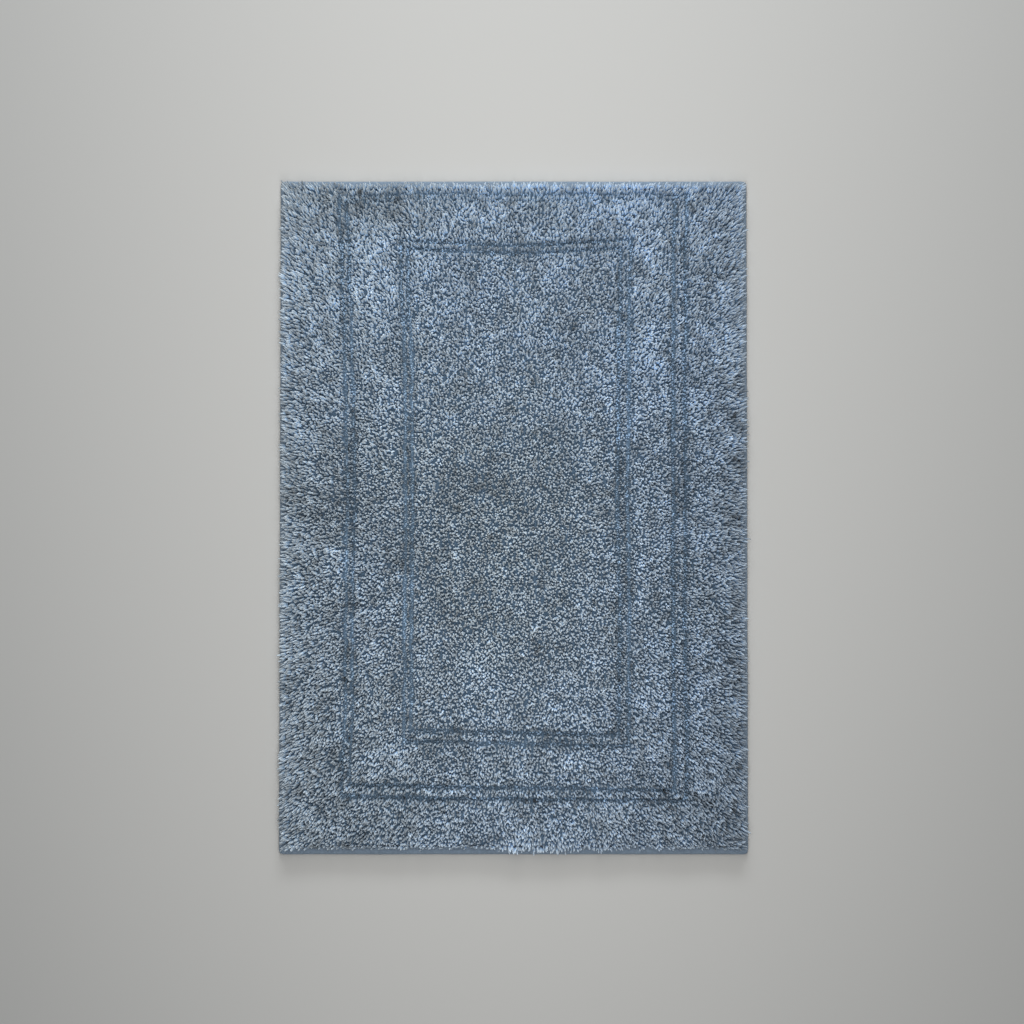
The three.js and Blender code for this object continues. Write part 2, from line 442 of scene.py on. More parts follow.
pile = {
    "rowGap": 3.7 * mm,
    "stitchGap": 3.3 * mm,
    "jitter": 0.3,
    "strips": {"border_left": 2, "border_right": 2, "centre": 4},  # the wide zones are grown in strips
    "ends": 2,  # yarn ends that each knot opens into
    "endGap": 1.08 * mm,  # from the knot's middle
    "edgeInset": 8.6 * mm,
    "rootLift": 2.4 * mm,  # of a field knot's root over the cloth
    # half the width of the sculpted grooves, one along each edge of the ridges
    "grooveHalf": {"left": 2.6 * mm, "right": 3.1 * mm, "top": 2.8 * mm, "bottom": 3.1 * mm},
    "grooveDepth": 5.2 * mm,
    # painted shade in the grooves: how far their yarn takes the dark root colour
    "grooveShade": 0.42,
    "grooveHold": 0.8,  # how much straighter the yarn stands beside a groove
    # painted shade beside the grooves: how much darker the yarn's tone is there
    "groovePaintedShade": -0.16,
    "grooveSteep": 1.7,  # how steep its walls are
    "grooveBeside": 1.8,  # how many half widths away it is still near
    "grooveLean": 0.5,  # how much less the cut yarn leans
    "grooveWobble": ((130 * mm, 1.6 * mm), (24 * mm, 1.0 * mm)),
    # how far each side's grooves bow inwards, how far they tilt, how far in they lie, and the
    # share of the side that the bow takes
    "grooveBends": {
        "left": (8 * mm, 0.0 * mm, 0.0 * mm, 1),
        "right": (3 * mm, 0.0 * mm, 0.0 * mm, 1),
        "top": (6 * mm, 0.0 * mm, 2.2 * mm, 0.48),
        "bottom": (-1 * mm, 3.0 * mm, -0.5 * mm, 0.7),
    },
    "bendStart": (0.1, 0.25),  # the share of the way out where a bend sets in, and over how much
    "bendEnd": (0.97, 0.15),  # where it is gone, and over how much
    "bowMiddle": 0.4,  # the share of the bow that is seen in the middle of a side
    "inwardFrom": 0.3,  # the share of the way out where a shift inwards sets in
    "groovePatches": (26 * mm, 0.25),  # how unevenly deep a groove is along its length
    "grooveLimit": 1.25,  # the deepest cut, as a share of the groove's depth
    # how deep each of the four grooves is cut on each side, from the border inwards
    "grooveCut": {
        "left": (1.3, 1.25, 1.35, 1.35),
        "right": (1.1, 1.2, 1.05, 1.0),
        "top": (0.7, 0.45, 1.1, 1.1),
        "bottom": (1.15, 1.1, 0.95, 0.95),
    },
    "widthVary": 0.12,
    "widthRange": (-0.25, 0.25),
    "heightVary": 0.07,
    "heightRange": (-0.18, 0.06),
    "heightClumps": (17 * mm, 0.35 * mm),
    "leastHeight": 1.5 * mm,
    "tipRoom": 0.6 * mm,  # kept free under the top of the field for the domed tips
    "lowRows": 2.6,  # the rows by the edge that stand on the cloth itself
    "leanMiddle": 0.2 * mm,
    "leanEdge": 3.9 * mm,
    "leanCurve": 1.6,
    "bendCurve": 1.5,  # how a leaning end bends along its height
    "edgeLean": {"left": 4.6 * mm, "right": 5.2 * mm, "top": 1.6 * mm, "bottom": -2.6 * mm},
    "edgeReach": 12 * mm,
    "overhang": (0.040, 0.070, 6.4 * mm),  # middle, half length and lean of the pile over the bottom hem
    "overhangLocks": (14 * mm, 0.4),
    "clumps": ((7 * mm, 1.1 * mm), (20 * mm, 0.8 * mm)),
    "stray": 1.2 * mm,
    "evenTone": 0.5,
    "toneStray": 0.065,  # of each knot, and again of each end
    "toneClumps": ((6 * mm, 0.10), (14 * mm, 0.075), (40 * mm, 0.035), (120 * mm, 0.02)),
    # painted light: the pile lighter towards the top, where the light comes from
    "paintedLightAlong": 0.02,  # lighter towards the top
    "greyCast": (1.03, 1.0, 0.95, 1),
    "blueCast": (0.95, 1.0, 1.07, 1),
    # painted light and shade: patches of the pile made lighter or darker, among them a painted highlight
    # along its top edge and on the yarn hanging over the bottom hem: x, y, half width, half length, amount
    "paintedLightPatches": (
        (0.000, 0.352, 0.260, 0.007, 0.12),
        (0.000, 0.285, 0.270, 0.120, 0.06),
        (-0.180, 0.335, 0.100, 0.035, -0.13),
        (-0.155, 0.245, 0.027, 0.060, 0.10),
        (-0.110, 0.140, 0.035, 0.065, 0.06),
        (0.115, 0.150, 0.055, 0.090, 0.10),
        (0.080, 0.235, 0.042, 0.050, -0.08),
        (-0.055, 0.035, 0.075, 0.025, -0.09),
        (-0.205, 0.005, 0.045, 0.045, -0.07),
        (-0.025, -0.165, 0.042, 0.042, 0.16),
        (0.006, -0.151, 0.009, 0.003, -0.25),
        (0.055, -0.155, 0.050, 0.016, -0.07),
        (-0.150, -0.165, 0.040, 0.050, 0.06),
        (0.235, 0.000, 0.028, 0.500, -0.10),
        (0.215, -0.140, 0.040, 0.180, -0.06),
        (0.180, -0.315, 0.085, 0.060, -0.08),
        (-0.205, -0.200, 0.040, 0.120, -0.03),
        (0.045, -0.350, 0.060, 0.010, 0.12),
    ),
    "evenCast": 0.5,
    "castClumps": ((30 * mm, 0.085), (110 * mm, 0.125)),
    "castAcross": 0.25,  # bluer towards the right
    "castCentre": (0.14, 0.24, -0.40),  # greyer in the middle: half width, half length, amount
    "fibreSize": 0.7 * mm,
    "streaks": (0.86, 0.28),
    "roughness": (0.95, 0.78),
    "bump": (0.35, 0.0004),
    "sheen": (0.25, (0.80, 0.88, 0.96, 1)),
    "rootBlend": (0.10, 0.50),  # between these shares of the height
    "tipBlend": (0.45, 0.92),
    # partly painted shade: the yarn's colour at its root, darker for the shade that falls between the
    # tufts
    "rootColourAndShade": (0.118, 0.192, 0.277, 1),
    "middleColour": (0.420, 0.605, 0.815, 1),
    "tipColour": (0.505, 0.580, 0.651, 1),
    "seed": 41,
}

# one yarn end: rings of (share of its height, radius in mm, turn), then its cut end
endShapes = [
    {"squash": 0.80, "rings": ((0.55, 1.27, 22), (0.86, 1.00, 16)), "cut": 0.52, "dome": 0.03},
    {"squash": 0.74, "rings": ((0.60, 1.28, -18), (0.88, 0.99, 20)), "cut": 0.50, "dome": 0.02},
    {"squash": 0.88, "rings": ((0.50, 1.31, 24), (0.84, 1.05, -12)), "cut": 0.48, "dome": 0.03},
    {"squash": 0.76, "rings": ((0.58, 1.22, -20), (0.90, 1.02, -16)), "cut": 0.54, "dome": 0.02},
    {"squash": 0.90, "rings": ((0.62, 1.25, -22), (0.87, 0.94, 16)), "cut": 0.50, "dome": 0.03},
]
endSides = 4
endHeight = 10 * mm
endRoot = 0.75 * mm
endFoot = 0.2  # the share of the height that stays regular
endUneven = 0.16 * mm


def modelEnd(number, shape):
    # a cut yarn end: narrow at its root, a flat twisted body, a blunt rounded tip
    deselectAll()
    bpy.ops.mesh.primitive_circle_add(vertices=endSides, radius=endRoot, fill_type="NGON")
    end = bpy.context.object
    end.name = "yarn_end_%d" % number
    bpy.ops.object.mode_set(mode="EDIT")
    bpy.ops.mesh.select_all(action="SELECT")
    bpy.ops.transform.resize(value=(1, shape["squash"], 1))
    z, radius = 0.0, endRoot
    for share, width, turn in shape["rings"]:
        rise = share * endHeight - z
        bpy.ops.mesh.extrude_region_move(TRANSFORM_OT_translate={"value": (0, 0, rise)})
        grow = width * mm / radius
        bpy.ops.transform.resize(value=(grow, grow, 1))
        bpy.ops.transform.rotate(value=math.radians(turn), orient_axis="Z", center_override=(0, 0, 0))
        z, radius = share * endHeight, width * mm
    bpy.ops.mesh.extrude_region_move(TRANSFORM_OT_translate={"value": (0, 0, endHeight - z)})
    bpy.ops.transform.resize(value=(shape["cut"], shape["cut"], 1))
    bpy.ops.mesh.poke(offset=shape["dome"] * endHeight)
    selectVertices(lambda co: co.z > endFoot * endHeight)
    bpy.ops.transform.vertex_random(offset=endUneven, seed=number)
    bpy.ops.mesh.select_all(action="SELECT")
    bpy.ops.mesh.quads_convert_to_tris()
    faceOutwards()
    points, faces = takeApart(end)
    points[:, 2] /= points[:, 2].max()
    return points, faces


def buildMesh(name, points, triangles, colours=None):
    mesh = bpy.data.meshes.new(name)
    mesh.vertices.add(len(points))
    mesh.vertices.foreach_set("co", np.ascontiguousarray(points, np.float32).ravel())
    mesh.loops.add(triangles.size)
    mesh.loops.foreach_set("vertex_index", np.ascontiguousarray(triangles, np.int32).ravel())
    mesh.polygons.add(len(triangles))
    mesh.polygons.foreach_set("loop_start", np.arange(0, triangles.size, 3, dtype=np.int32))
    mesh.polygons.foreach_set("use_smooth", np.ones(len(triangles), bool))
    mesh.update(calc_edges=True)
    if colours is not None:
        layer = mesh.color_attributes.new("tuft", "FLOAT_COLOR", "POINT")
        layer.data.foreach_set("color", np.ascontiguousarray(colours, np.float32).ravel())
    piece = bpy.data.objects.new(name, mesh)
    bpy.context.scene.collection.objects.link(piece)
    return piece


def pileMaterial():
    # packed roots darkened as painted shade between the tufts, and pale tips, with each yarn's own tone
    # and fine fibres
    material, tree, shader = newMaterial("pile", 0.9, *pile["sheen"])
    attribute = tree.nodes.new("ShaderNodeAttribute")
    attribute.attribute_name = "tuft"
    parts = tree.nodes.new("ShaderNodeSeparateColor")
    tree.links.new(attribute.outputs["Color"], parts.inputs[0])
    share, tone = parts.outputs[0], parts.outputs[1]
    fibres = useGroup(tree, fibreGroup, objectVector(tree), "Size", pile["fibreSize"])
    rootwards = rampNode(tree, share, *pile["rootBlend"])
    tipwards = rampNode(tree, share, *pile["tipBlend"])
    lower = mixColour(tree, rootwards, pile["rootColourAndShade"], pile["middleColour"])
    yarn = mixColour(tree, tipwards, lower, pile["tipColour"])
    light = mathNode(tree, "DIVIDE", tone, pile["evenTone"])
    streak = amountOf(tree, fibres.outputs["Mask"], *pile["streaks"])
    shaded = shadeBy(tree, yarn, mathNode(tree, "MULTIPLY", light, streak))
    cast = mixColour(tree, parts.outputs[2], pile["greyCast"], pile["blueCast"])
    tree.links.new(mixColour(tree, 1.0, shaded, cast, "MULTIPLY"), shader.inputs["Base Color"])
    addRoughness(tree, shader, fibres.outputs["Mask"], *pile["roughness"])
    addBump(tree, shader, fibres.outputs["Height"], *pile["bump"])
    return material


def straighten(x, y):
    # where each place would lie if every groove ran straight
    for number, (size, amount) in enumerate(pile["grooveWobble"]):
        x = x + patchField(x, y, size, seeds["wobbleX"] + number) * amount
        y = y + patchField(x, y, size, seeds["wobbleY"] + number) * amount
    u, v = x / matHalfX, y / matHalfY
    start, startOver = pile["bendStart"]
    end, endOver = pile["bendEnd"]
    for name, across, along in (("left", -u, v), ("right", u, v), ("top", v, u), ("bottom", -v, u)):
        bow, tilt, inward, reach = pile["grooveBends"][name]
        weight = np.clip((end - across) / endOver, 0, 1) * np.clip((across - start) / startOver, 0, 1)
        turn = np.clip(along / reach, -1, 1)
        shift = (bow * (pile["bowMiddle"] - turn ** 2) - tilt * turn) * weight
        shift = shift + inward * (across > pile["inwardFrom"])
        if name in ("left", "right"):
            x = x + np.sign(u) * shift
        else:
            y = y + np.sign(v) * shift
    return x, y


def grooveAt(x, y):
    # how much of the full groove depth is cut away at each place, and how near a groove it is
    cut = np.zeros(x.shape)
    near = np.zeros(x.shape)
    for line, rect in enumerate(lineRects):
        midX, midY = (rect["left"] + rect["right"]) / 2, (rect["top"] + rect["bottom"]) / 2
        ox = np.abs(x - midX) - (rect["right"] - rect["left"]) / 2
        oy = np.abs(y - midY) - (rect["top"] - rect["bottom"]) / 2
        away = np.abs(np.hypot(np.maximum(ox, 0), np.maximum(oy, 0)) + np.minimum(np.maximum(ox, oy), 0))
        side = np.where(ox > oy, np.where(x < midX, 0, 1), np.where(y > midY, 2, 3))
        depth = np.array([pile["grooveCut"][name][line] for name in sideNames])[side]
        half = np.array([pile["grooveHalf"][name] for name in sideNames])[side]
        wall = np.clip(pile["grooveSteep"] * (1 - away / half), 0, 1)
        beside = np.clip(pile["grooveBeside"] - away / half, 0, 1)
        cut = np.maximum(cut, depth * wall)
        near = np.maximum(near, np.minimum(depth, 1) * beside)
    size, amount = pile["groovePatches"]
    patchy = cut * (1 + amount * patchField(x, y, size, seeds["groove"]))
    return np.minimum(patchy, pile["grooveLimit"]), near


def zoneOf(x, y):
    # the ring that each place is in, from 0 at the border to 4 in the centre, its side, and its
    # share of the way across
    ring = np.zeros(x.shape, int)
    for rect in lineRects:
        ring += (x > rect["left"]) & (x < rect["right"]) & (y > rect["bottom"]) & (y < rect["top"])
    edges = [insetRect(hemRect, pile["edgeInset"])] + lineRects
    side = np.zeros(x.shape, int)
    share = (x - centreRect["left"]) / (centreRect["right"] - centreRect["left"])
    for k, (outer, inner) in enumerate(zip(edges, lineRects)):
        shares = np.stack([
            (x - outer["left"]) / (inner["left"] - outer["left"]),
            (outer["right"] - x) / (outer["right"] - inner["right"]),
            (outer["top"] - y) / (outer["top"] - inner["top"]),
            (y - outer["bottom"]) / (inner["bottom"] - outer["bottom"]),
        ])
        side = np.where(ring == k, shares.argmin(0), side)
        share = np.where(ring == k, shares.min(0), share)
    return ring, side, share


def plantPile():
    # every yarn end's place, height, lean, turn, width and tone
    rng = np.random.default_rng(pile["seed"])
    rect = insetRect(hemRect, pile["edgeInset"])
    rows = np.arange(rect["left"], rect["right"] + 0.1 * mm, pile["rowGap"])
    stitches = np.arange(rect["bottom"], rect["top"] + 0.1 * mm, pile["stitchGap"])
    x, y = (a.ravel() for a in np.meshgrid(rows, stitches, indexing="ij"))
    shift = np.tile(rng.uniform(-0.5, 0.5, len(rows))[:, None], (1, len(stitches))).ravel()
    y = y + shift * pile["stitchGap"]
    x = x + rng.uniform(-1, 1, x.shape) * pile["jitter"] * pile["rowGap"]
    y = y + rng.uniform(-1, 1, x.shape) * pile["jitter"] * pile["stitchGap"]
    knotTone = rng.normal(0, pile["toneStray"], x.shape)
    spin = rng.uniform(0, 2 * math.pi, x.shape)
    x, y, knotTone, spin = (np.repeat(a, pile["ends"]) for a in (x, y, knotTone, spin))
    around = spin + np.tile(np.arange(pile["ends"]) * 2 * math.pi / pile["ends"], len(x) // pile["ends"])
    x = np.clip(x + np.cos(around) * pile["endGap"], rect["left"], rect["right"])
    y = np.clip(y + np.sin(around) * pile["endGap"], rect["bottom"], rect["top"])
    toEdge = {
        "left": x - rect["left"], "right": rect["right"] - x,
        "top": rect["top"] - y, "bottom": y - rect["bottom"],
    }
    nearest = np.min(list(toEdge.values()), axis=0)

    away = np.hypot(x / matHalfX, y / matHalfY) / math.sqrt(2)
    lean = pile["leanMiddle"] + (pile["leanEdge"] - pile["leanMiddle"]) * away ** pile["leanCurve"]
    far = np.hypot(x, y) + 1e-6  # never 0, even for an end in the very middle
    leanX = x / far * lean
    leanY = y / far * lean
    for name, sign, axis in (("left", -1, 0), ("right", 1, 0), ("top", 1, 1), ("bottom", -1, 1)):
        push = sign * pile["edgeLean"][name] * np.exp(-toEdge[name] / pile["edgeReach"])
        if axis == 0:
            leanX = leanX + push
        else:
            leanY = leanY + push
    middle, half, over = pile["overhang"]
    size, amount = pile["overhangLocks"]
    locks = 1 - amount + amount * patchField(x, y, size, seeds["overhang"])
    hang = np.exp(-((x - middle) / half) ** 4) * locks
    leanY = leanY - over * hang * np.exp(-toEdge["bottom"] / pile["edgeReach"])

    tipX, tipY = straighten(x + leanX, y + leanY)
    cut, near = grooveAt(tipX, tipY)
    ring, side, share = zoneOf(tipX, tipY)
    top = np.where((ring == 1) | (ring == 3), ridgeTop, pileTop - pile["tipRoom"])
    lowRoot = nearest < pile["lowRows"] * pile["rowGap"]
    root = np.where(lowRoot, clothTop, clothTop + pile["rootLift"])
    vary = rng.normal(0, pile["heightVary"], x.shape).clip(*pile["heightRange"])
    size, amount = pile["heightClumps"]
    height = (top - root) * (1 + vary)
    height = height + patchField(x, y, size, seeds["height"]) * amount - cut * pile["grooveDepth"]
    height = np.maximum(height, pile["leastHeight"])

    straight = 1 - pile["grooveHold"] * near
    for number, (size, amount) in enumerate(pile["clumps"]):
        leanX += patchField(x, y, size, seeds["clumpX"] + number) * amount * straight
        leanY += patchField(x, y, size, seeds["clumpY"] + number) * amount * straight
    leanX += rng.normal(0, pile["stray"], x.shape) * straight
    leanY += rng.normal(0, pile["stray"], x.shape) * straight
    held = 1 - pile["grooveLean"] * np.clip(cut, 0, 1)

    tone = pile["evenTone"] + knotTone + rng.normal(0, pile["toneStray"], x.shape)
    for number, (size, amount) in enumerate(pile["toneClumps"]):
        tone += patchField(x, y, size, seeds["tone"] + number) * amount
    # painted light, lighter towards the top, and painted shade beside the grooves
    tone += pile["paintedLightAlong"] * y / matHalfY + pile["groovePaintedShade"] * near
    # painted light and shade in patches
    for midX, midY, halfX, halfY, amount in pile["paintedLightPatches"]:
        tone += amount * np.exp(-((x - midX) / halfX) ** 2 - ((y - midY) / halfY) ** 2)
    cast = pile["evenCast"] + pile["castAcross"] * x / matHalfX
    for number, (size, amount) in enumerate(pile["castClumps"]):
        cast = cast + patchField(x, y, size, seeds["cast"] + number) * amount
    wide, long, amount = pile["castCentre"]
    cast = cast + amount * np.exp(-(x / wide) ** 2 - (y / long) ** 2)
    return {
        "x": x, "y": y, "root": root, "height": height,
        "leanX": leanX * held, "leanY": leanY * held,
        "turn": rng.uniform(0, 2 * math.pi, x.shape),
        "width": 1 + rng.normal(0, pile["widthVary"], x.shape).clip(*pile["widthRange"]),
        "tone": tone, "cast": cast, "ring": ring, "side": side, "share": share,
        "kind": rng.integers(0, len(endShapes), x.shape),
        # painted shade: yarn in a groove takes more of the dark root colour
        "low": 1 - pile["grooveShade"] * np.clip(cut, 0, 1),
    }


def growPiece(name, ends, chosen, masters):
    allPoints, allFaces, allColours = [], [], []
    count = 0
    for kind, (points, faces) in enumerate(masters):
        pick = np.flatnonzero(chosen & (ends["kind"] == kind))
        if not len(pick):
            continue
        take = {key: value[pick][:, None] for key, value in ends.items()}
        px, py, pz = points.T[:, None, :]
        cos, sin = np.cos(take["turn"]), np.sin(take["turn"])
        wide = take["width"]
        bend = pz ** pile["bendCurve"]
        x = take["x"] + (px * cos - py * sin) * wide + take["leanX"] * bend
        y = take["y"] + (px * sin + py * cos) * wide + take["leanY"] * bend
        z = take["root"] + pz * take["height"]
        place = np.stack([x, y, z], axis=-1).reshape(-1, 3)
        # the share up the yarn, lowered in the grooves as painted shade
        share = np.broadcast_to(pz, x.shape) * take["low"]
        tone = np.broadcast_to(take["tone"], x.shape)
        cast = np.broadcast_to(take["cast"], x.shape)
        colour = np.stack([share, tone, cast, np.ones_like(share)], axis=-1)
        allPoints.append(place)
        allFaces.append(count + repeated(faces, len(pick), len(points)))
        allColours.append(colour.reshape(-1, 4))
        count += len(place)
    return buildMesh(name, np.concatenate(allPoints), np.concatenate(allFaces), np.concatenate(allColours))


def makePile():
    masters = [modelEnd(number, shape) for number, shape in enumerate(endShapes)]
    print("yarn ends modelled:", [len(faces) for points, faces in masters])
    ends = plantPile()
    material = pileMaterial()
    zones = []  # name, node, and which ends stand in it
    for number, ring in enumerate(("border", "outer_ridge", "band", "inner_ridge")):
        for index, side in enumerate(sideNames):
            chosen = (ends["ring"] == number) & (ends["side"] == index)
            zones.append(("%s_%s" % (ring, side), "%s_pile_%s" % (ring, side), chosen))
    zones.append(("centre", "centre_pile", ends["ring"] == len(lineRects)))
    total = 0
    for zone, node, chosen in zones:
        count = pile["strips"].get(zone, 1)
        strip = np.clip(np.floor(ends["share"] * count), 0, count - 1)
        for k in range(count):
            name = "tufts_" + zone + ("_%d" % (k + 1) if count > 1 else "")
            piece = growPiece(name, ends, chosen & (strip == k), masters)
            finishPile(piece, material, node)
            total += len(piece.data.polygons)
    print("pile planted:", len(ends["x"]), "yarn ends,", total, "triangles")
    return material


def finishPile(piece, material, node):
    piece.data.materials.append(material)
    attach(piece, "root")
    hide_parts(node)


pileFinish = makePile()

# the roots that the tufts rise from
roots = {
    "step": 7.0 * mm,
    "rise": 3.5 * mm,
    "grooveDrop": 2.0 * mm,
    "leastRise": 1.2 * mm,
    "lumps": (5 * mm, 0.8 * mm),
    "inset": 2 * mm,  # from the outermost row
    # painted shade: the roots take the yarn's dark root colour
    "tuft": (0.10, 0.48, 0.5, 1),  # the share of the height, tone and cast that its colour is taken at
}


def makeRoots():
    deselectAll()
    rect = insetRect(hemRect, pile["edgeInset"] + roots["inset"])
    width, length = rect["right"] - rect["left"], rect["top"] - rect["bottom"]
    bpy.ops.mesh.primitive_grid_add(
        x_subdivisions=round(width / roots["step"]),
        y_subdivisions=round(length / roots["step"]),
        size=1,
    )
    piece = bpy.context.object
    piece.name = "pile_roots"
    bpy.ops.object.mode_set(mode="EDIT")
    bpy.ops.mesh.select_all(action="SELECT")
    bpy.ops.transform.resize(value=(width, length, 1), center_override=(0, 0, 0))
    bpy.ops.transform.translate(value=(0, 0, clothTop))
    bpy.ops.mesh.extrude_region_move(TRANSFORM_OT_translate={"value": (0, 0, roots["rise"])})
    faceOutwards()
    points = pointsOf(piece.data)
    x, y, z = points.T
    cut = grooveAt(*straighten(x, y))[0]
    rise = roots["rise"] - cut * roots["grooveDrop"]
    rise = np.maximum(rise, roots["leastRise"])
    size, amount = roots["lumps"]
    rise = rise + patchField(x, y, size, seeds["roots"]) * amount
    points[:, 2] = np.where(z > clothTop + roots["rise"] / 2, clothTop + rise, z)
    setPoints(piece.data, points)
    colours = np.tile(roots["tuft"], (len(points), 1))
    layer = piece.data.color_attributes.new("tuft", "FLOAT_COLOR", "POINT")
    layer.data.foreach_set("color", colours.astype(np.float32).ravel())
    piece.data.materials.append(pileFinish)
    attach(piece, "root")


makeRoots()
print("roots made")


# hem tape, folded round the edge of the layers

hem = {
    "thickness": 0.75 * mm,
    "topLeg": 8.0 * mm,
    "bottomLeg": 13.4 * mm,
    "cornerRadius": 3.5 * mm,
    "across": 22,
    "along": 5 * mm,
    "wave": (38 * mm, 0.3 * mm),
    "waveFrom": 1 * mm,  # above the tape's underside
    "lift": (16 * mm, 0.12 * mm),
    "liftFrom": 2.5 * mm,
    "straightEnd": 25 * mm,  # without waves, so that the sides meet at their corners
    "spare": 0.03 * mm,  # inside the tape's box, above and below
    "smoothAngle": 50,
    "weave": 0.9 * mm,
    "colour": (0.255, 0.335, 0.43, 1),
}

# what the woven cloths share, and what the rubbers share
finish = {
    "wornSize": 2.5 * mm,
    "worn": (0.9, 0.2),
    "weaveBump": (0.6, 0.0002),
    "cloudSize": 35 * mm,
    "cloudDark": 0.8,
    "skin": (0.93, 0.12),
    "skinRoughness": (0.75, 0.5),
    "skinBump": (0.35, 0.0002),
}


def clothMaterial(name, colour, weave, roughness=(0.95, 0.75), sheen=0.15, threadGapShade=0.75):
    # woven cloth: painted shade between its threads, with a little wear all over
    material, tree, shader = newMaterial(name, 0.85, sheen)
    woven = useGroup(tree, weaveGroup, mapVector(tree, "flat"), "Pitch", weave)
    fibres = useGroup(tree, fibreGroup, objectVector(tree), "Size", finish["wornSize"])
    base = mixColour(tree, woven.outputs["Mask"], darker(colour, threadGapShade), colour)
    worn = amountOf(tree, fibres.outputs["Mask"], *finish["worn"])
    tree.links.new(shadeBy(tree, base, worn), shader.inputs["Base Color"])
    addRoughness(tree, shader, woven.outputs["Mask"], *roughness)
    addBump(tree, shader, woven.outputs["Height"], *finish["weaveBump"])
    return material


def addFlatGrid(name, width, length, across, along):
    # a flat cloth as it was cut, with its own map in metres
    deselectAll()
    bpy.ops.mesh.primitive_grid_add(x_subdivisions=across, y_subdivisions=along, size=1)
    piece = bpy.context.object
    piece.name = name
    bpy.ops.object.mode_set(mode="EDIT")
    bpy.ops.mesh.select_all(action="SELECT")
    bpy.ops.transform.resize(value=(width, length, 1), center_override=(0, 0, 0))
    bpy.ops.object.mode_set(mode="OBJECT")
    mesh = piece.data
    points = pointsOf(mesh)
    corners = np.zeros(len(mesh.loops), np.int32)
    mesh.loops.foreach_get("vertex_index", corners)
    flat = mesh.uv_layers[0]
    flat.name = "flat"
    flat.uv.foreach_set("vector", np.ascontiguousarray(points[corners][:, :2], np.float32).ravel())
    return piece


def roundCorners(x, y, radius):
    # pulls what lies at a corner of the mat in to a round one
    u = np.maximum(np.abs(x) - (matHalfX - radius), 0)
    v = np.maximum(np.abs(y) - (matHalfY - radius), 0)
    far = np.hypot(u, v)
    pull = np.where(far > 0, np.maximum(u, v) / np.maximum(far, 1e-9), 1)
    return x - np.sign(x) * u * (1 - pull), y - np.sign(y) * v * (1 - pull)


def foldOfTape():
    # the height of the fold's middle, its radius along the tape's middle, and how far in it reaches
    half = hem["thickness"] / 2
    low = tapeBottom + half + hem["spare"]
    high = tapeTop - half - hem["spare"]
    radius = (high - low) / 2
    return (low + high) / 2, radius, radius + half


def foldedTape(s):
    # how far in from the edge, and how high, the tape's middle is at s across its flat width
    middle, radius, foldIn = foldOfTape()
    bottomRun = hem["bottomLeg"] - foldIn
    turn = (s - bottomRun) / radius
    onFold = np.clip(turn, 0, math.pi)
    inset = foldIn - np.sin(onFold) * radius
    inset = inset + np.maximum(bottomRun - s, 0) + np.maximum(s - bottomRun - math.pi * radius, 0)
    return inset, middle - np.cos(onFold) * radius


def tapeWidth():
    middle, radius, foldIn = foldOfTape()
    return hem["bottomLeg"] + hem["topLeg"] - 2 * foldIn + math.pi * radius


def makeTape(side, material):
    width = tapeWidth()
    upright = side in ("left", "right")
    halfLength, reach = (matHalfY, matHalfX) if upright else (matHalfX, matHalfY)
    rows = round(2 * halfLength / hem["along"])
    piece = addFlatGrid("hem_%s" % side, width, 2 * halfLength, hem["across"], rows)
    points = pointsOf(piece.data)
    across = points[:, 0] + width / 2
    inset, z = foldedTape(across)
    along = points[:, 1] * (1 - inset / halfLength)
    fromEnd = np.clip((halfLength - np.abs(points[:, 1])) / hem["straightEnd"], 0, 1)
    size, amount = hem["wave"]
    wave = patchField(along, along * 0, size, seeds["wave"] + sideNames.index(side)) * fromEnd
    inset = inset + (wave + 1) * 0.5 * amount * fromEnd * (z > tapeBottom + hem["waveFrom"])
    size, amount = hem["lift"]
    lift = patchField(along, across, size, seeds["lift"] + sideNames.index(side)) * amount * fromEnd
    z = z + lift * (z > tapeBottom + hem["liftFrom"])
    out = reach - inset
    if side == "left":
        x, y = -out, along
    elif side == "right":
        x, y = out, -along
    elif side == "top":
        x, y = along, out
    else:
        x, y = -along, -out
    x, y = roundCorners(x, y, hem["cornerRadius"])
    setPoints(piece.data, np.stack([x, y, z], axis=1))
    makeActive(piece)
    bpy.ops.object.mode_set(mode="EDIT")
    faceOutwards()
    applyModifier(piece, "SOLIDIFY", thickness=hem["thickness"], offset=0)
    bpy.ops.object.shade_smooth_by_angle(angle=math.radians(hem["smoothAngle"]))
    piece.data.materials.append(material)
    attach(piece, "root")
    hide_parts("hem_tape_" + side)


def makeHem():
    material = clothMaterial("hem_cloth", hem["colour"], hem["weave"])
    for side in sideNames:
        makeTape(side, material)


makeHem()
print("hem made")


# stitches: needle thread on the top of the tape, bobbin thread underneath

stitch = {
    "length": 2.5 * mm,
    "pitch": 3.15 * mm,
    "radius": 0.26 * mm,
    "dip": 0.42 * mm,
    "sides": 5,
    # its rings past the first: forward in half lengths, up in dips, and how much wider
    "moves": ((0.22, 1, 1.25), (1.56, 0, 1.0), (0.22, -1, 0.8)),
    "endWidth": 0.8,
    "stray": 0.1 * mm,
    "slant": 0.03,
    "sway": (40 * mm, 0.3 * mm),
    "cornerGap": 1.5 * mm,
    "seed": 70,
    "needleInset": 6.0 * mm,
    "bobbinInset": 10.0 * mm,
    "needleColour": (0.30, 0.385, 0.50, 1),
    "bobbinColour": (0.42, 0.49, 0.58, 1),
    "twist": 0.5 * mm,
    # painted shade in the turns of the twist
    "twistShade": 0.6,
    "roughness": (0.8, 0.55),
    "bump": (0.4, 0.0001),
}


